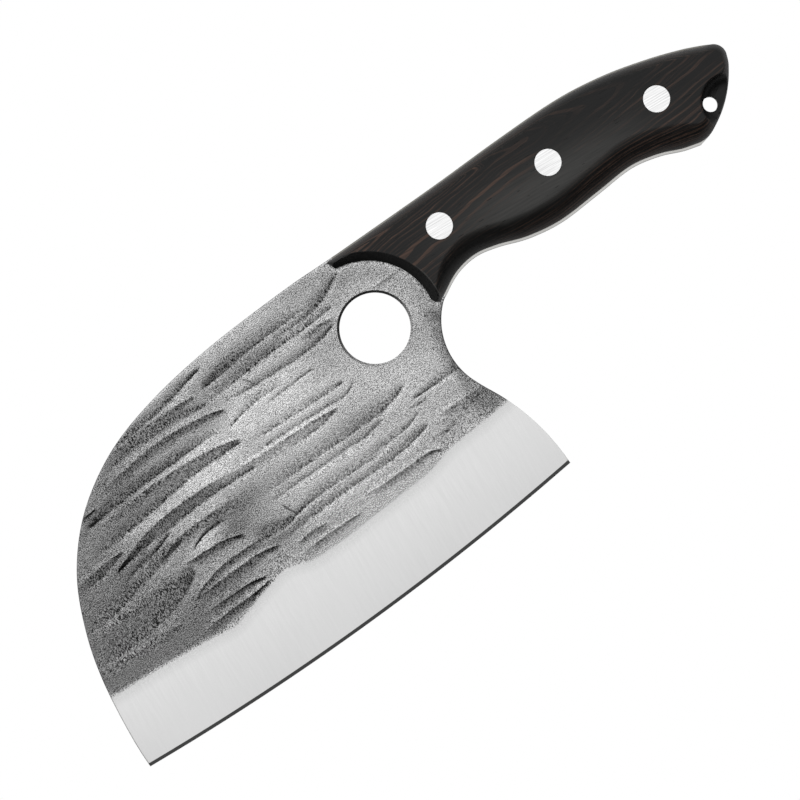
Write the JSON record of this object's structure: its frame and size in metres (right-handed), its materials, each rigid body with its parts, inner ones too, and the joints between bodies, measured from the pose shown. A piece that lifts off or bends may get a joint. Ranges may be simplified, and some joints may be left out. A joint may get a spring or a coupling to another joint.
{
  "type": "meat cleaver",
  "caption": "Forged meat cleaver with a curved cutting edge, hammered sides, a finger hole behind the heel and a full tang between riveted dark hardwood scales.",
  "frame": {"origin": "centre of the finger hole, halfway through the thickness of the blade", "axes": "+X towards the butt along the line of the rivets, +Y towards the spine so that the cutting edge faces -Y, +Z out of the left side of the blade; the knife lies on its right side"},
  "size_m": [0.2791, 0.1205, 0.02],
  "materials": {
    "forged_steel": "hand-forged stainless steel, hammered and scale-darkened above a satin ground bevel",
    "dark_hardwood": "near-black oiled hardwood with fine brown streaks, satin",
    "rivet_steel": "bright linished stainless steel, ground flush with the wood"
  },
  "bodies": {
    "root": {"blade": "forged_steel", "left_scale": "dark_hardwood", "right_scale": "dark_hardwood", "front_rivet_post": "rivet_steel", "front_rivet_socket": "rivet_steel", "middle_rivet_post": "rivet_steel", "middle_rivet_socket": "rivet_steel", "rear_rivet_post": "rivet_steel", "rear_rivet_socket": "rivet_steel"}
  },
  "joints": []
}
